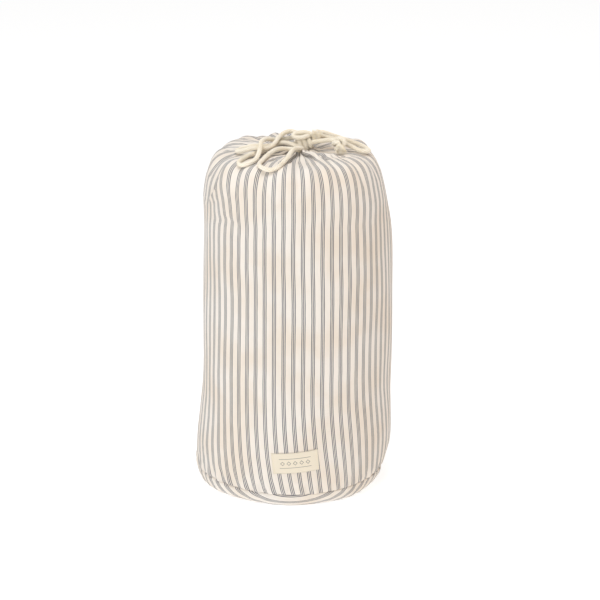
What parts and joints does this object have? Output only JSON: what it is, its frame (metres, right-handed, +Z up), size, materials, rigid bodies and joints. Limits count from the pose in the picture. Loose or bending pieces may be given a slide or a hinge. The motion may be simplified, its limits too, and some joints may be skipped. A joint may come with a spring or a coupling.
{
  "type": "drawstring laundry bag",
  "caption": "Round-bottomed striped cloth bag, gathered to a small mouth by a cord in a casing and closed with a bow.",
  "frame": {"origin": "centre of the flat round foot, on the floor", "axes": "+Z up through the mouth, the label faces -Y, +X to the right as the label is read"},
  "size_m": [0.2569, 0.2581, 0.4851],
  "materials": {
    "striped_cotton": "matt woven ticking, cream with thin blue-grey stripes",
    "cotton_cord": "soft matt natural cotton",
    "label_tape": "matt woven tape",
    "sewing_thread": "matt spun thread"
  },
  "bodies": {
    "bag": {"body_panel": "striped_cotton", "base_panel": "striped_cotton", "base_seam": "sewing_thread", "back_seam": "striped_cotton", "mouth_casing": "striped_cotton", "casing_stitching": "sewing_thread", "casing_cord": "cotton_cord", "front_label": "label_tape", "label_stitching": "sewing_thread"},
    "bow": {"cord_lead_left": "cotton_cord", "cord_lead_right": "cotton_cord", "knot_core": "cotton_cord", "knot_wrap_left": "cotton_cord", "knot_wrap_middle": "cotton_cord", "knot_wrap_right": "cotton_cord", "short_fray": "cotton_cord"},
    "left_loops": {"loop_far": "cotton_cord", "loop_middle": "cotton_cord", "loop_front": "cotton_cord"},
    "right_loop": {"loop_right": "cotton_cord"},
    "tail": {"cord_tail": "cotton_cord", "end_knot": "cotton_cord", "end_fray": "cotton_cord"}
  },
  "joints": [
    {"name": "bow_lift", "type": "slide", "parent": "bag", "child": "bow", "axis": [0, 0, 1], "range_m": [0, 0.016]},
    {"name": "left_loops_swing", "type": "hinge", "parent": "bow", "child": "left_loops", "pos_m": [-0.001, 0, 0.477], "axis": [0, 1, 0], "range_deg": [0, 35]},
    {"name": "right_loop_swing", "type": "hinge", "parent": "bow", "child": "right_loop", "pos_m": [0.025, 0, 0.476], "axis": [0, -1, 0], "range_deg": [0, 35]},
    {"name": "tail_swing", "type": "hinge", "parent": "bow", "child": "tail", "pos_m": [0.025, -0.009, 0.471], "axis": [0, -1, 0], "range_deg": [0, 40]}
  ]
}
